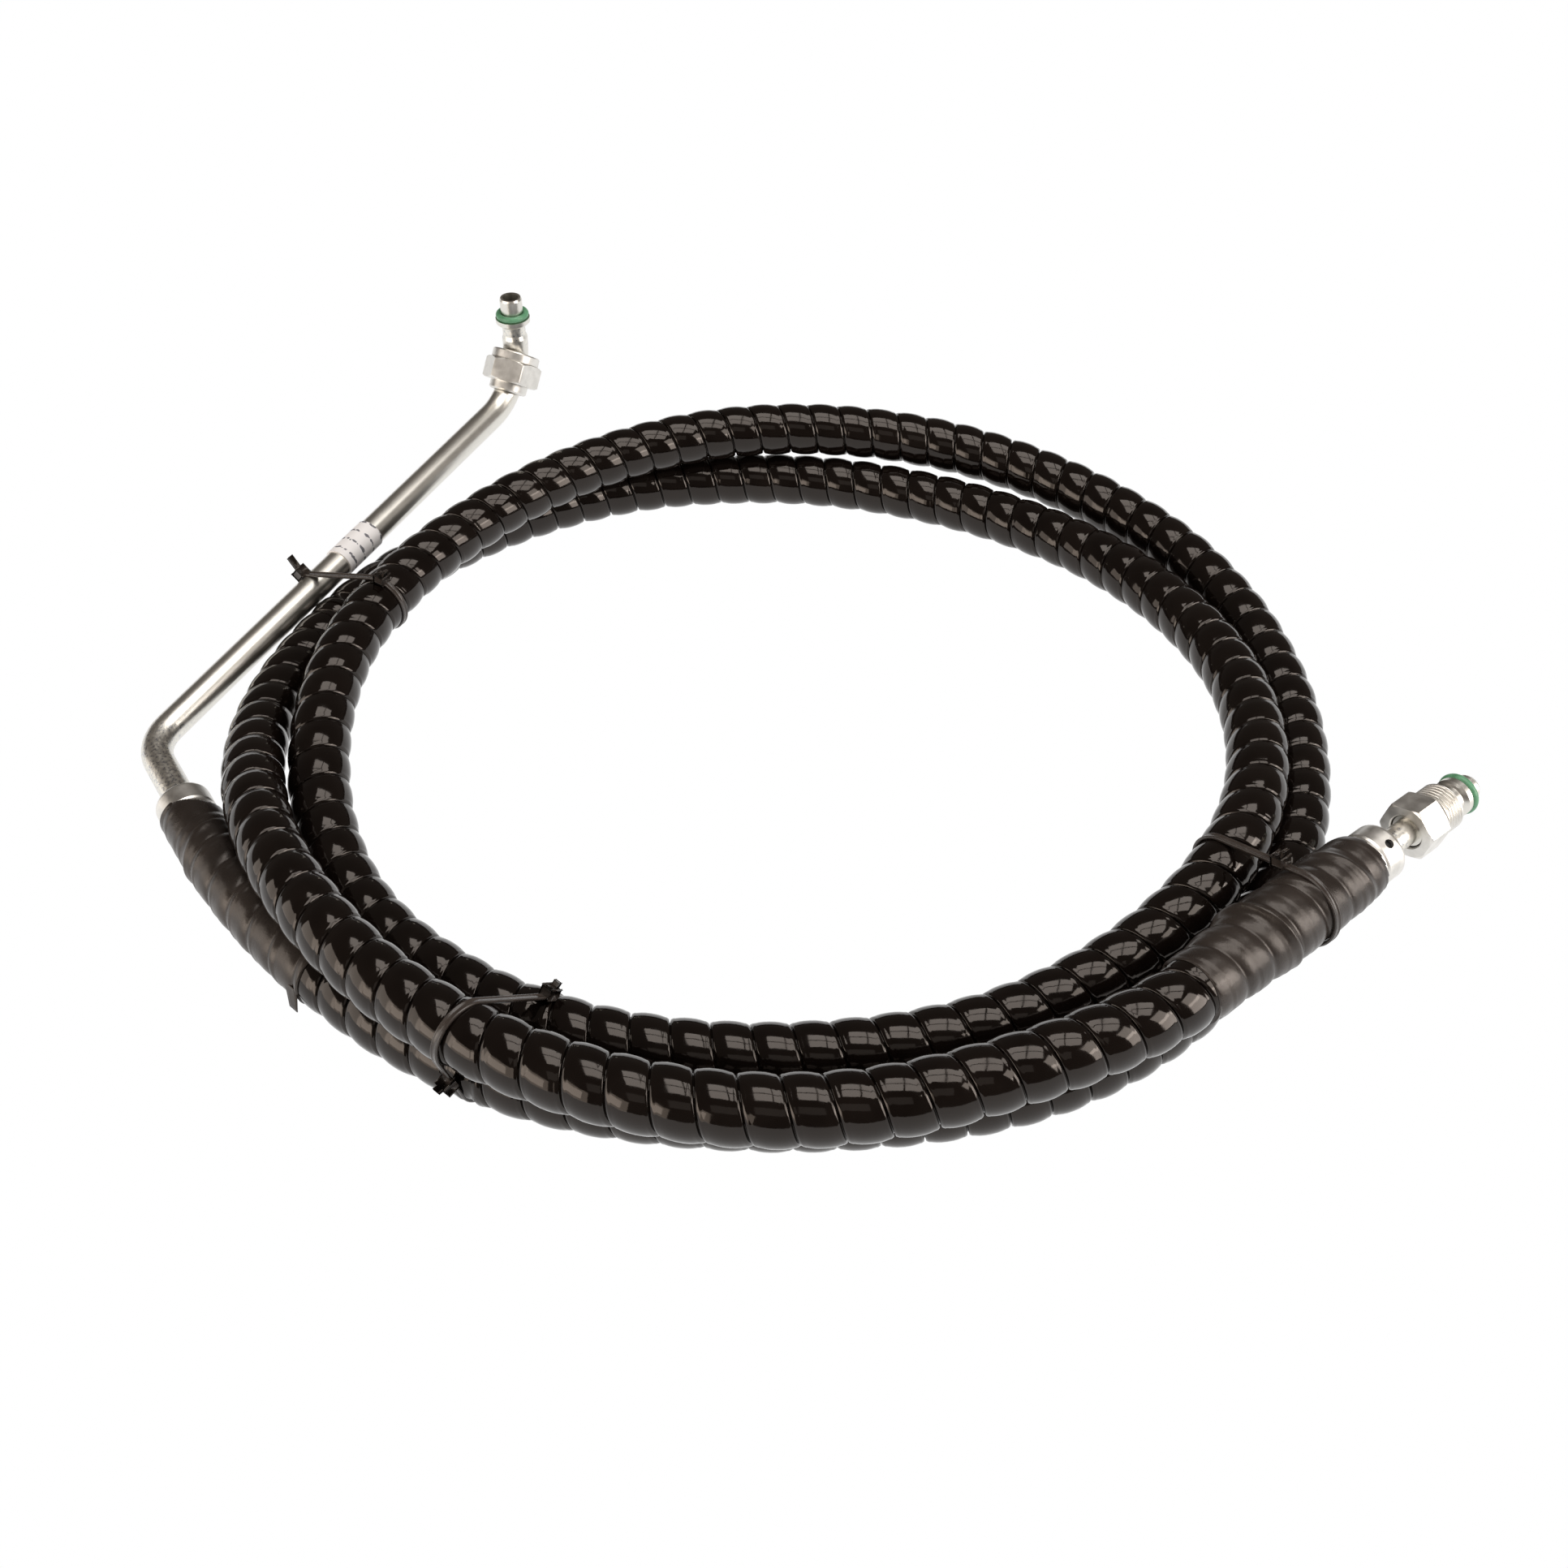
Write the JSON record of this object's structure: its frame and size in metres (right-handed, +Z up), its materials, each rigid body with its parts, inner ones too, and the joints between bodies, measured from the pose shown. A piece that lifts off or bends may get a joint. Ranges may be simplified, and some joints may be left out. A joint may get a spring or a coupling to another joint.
{
  "type": "hydraulic hose assembly",
  "caption": "Coiled flexible hose in a black spiral guard, tied in loose turns, with a long bent steel tube and swivel nut on one end and a short threaded swivel end on the other.",
  "frame": {"origin": "middle of the assembly's footprint, on the surface it lies on", "axes": "+Z up; +X towards the short threaded end; the long bent tube's nose stands up on the -X, +Y side"},
  "size_m": [0.5311, 0.4772, 0.0863],
  "materials": {
    "guard_plastic": "glossy black spiral wrap",
    "hose_rubber": "matt black rubber",
    "braid": "woven polyester yarn",
    "tape": "satin black adhesive tape",
    "zinc_steel": "bright zinc plating",
    "seal_rubber": "green nitrile rubber",
    "label": "white heat-shrink sleeve with plain marks",
    "tie_nylon": "black nylon"
  },
  "bodies": {
    "root": {"hose_liner": "hose_rubber", "hose_braid": "braid", "hose_cover": "hose_rubber", "spiral_guard": "guard_plastic", "tape_a": "tape", "tape_b": "tape", "ferrule_a": "zinc_steel", "ferrule_b": "zinc_steel", "insert_a": "zinc_steel", "insert_b": "zinc_steel", "tube_a": "zinc_steel", "stem_b": "zinc_steel", "o_ring_a": "seal_rubber", "o_ring_b": "seal_rubber", "label_sleeve": "label", "tie_left_1": "tie_nylon", "tie_left_2": "tie_nylon", "tie_front_1": "tie_nylon", "tie_front_2": "tie_nylon", "tie_right_1": "tie_nylon", "tie_right_2": "tie_nylon"},
    "nut_a": {"nut_a": "zinc_steel"},
    "nut_b": {"nut_b": "zinc_steel"}
  },
  "joints": [
    {"name": "nut_a_spin", "type": "hinge", "parent": "root", "child": "nut_a", "pos_m": [-0.1382, 0.22359, 0.04764], "axis": [0.2694, 0.5454, 0.7937], "continuous": true},
    {"name": "nut_b_spin", "type": "hinge", "parent": "root", "child": "nut_b", "pos_m": [0.24118, -0.09281, 0.03882], "axis": [0.7809, 0.6245, 0.0127], "continuous": true}
  ]
}
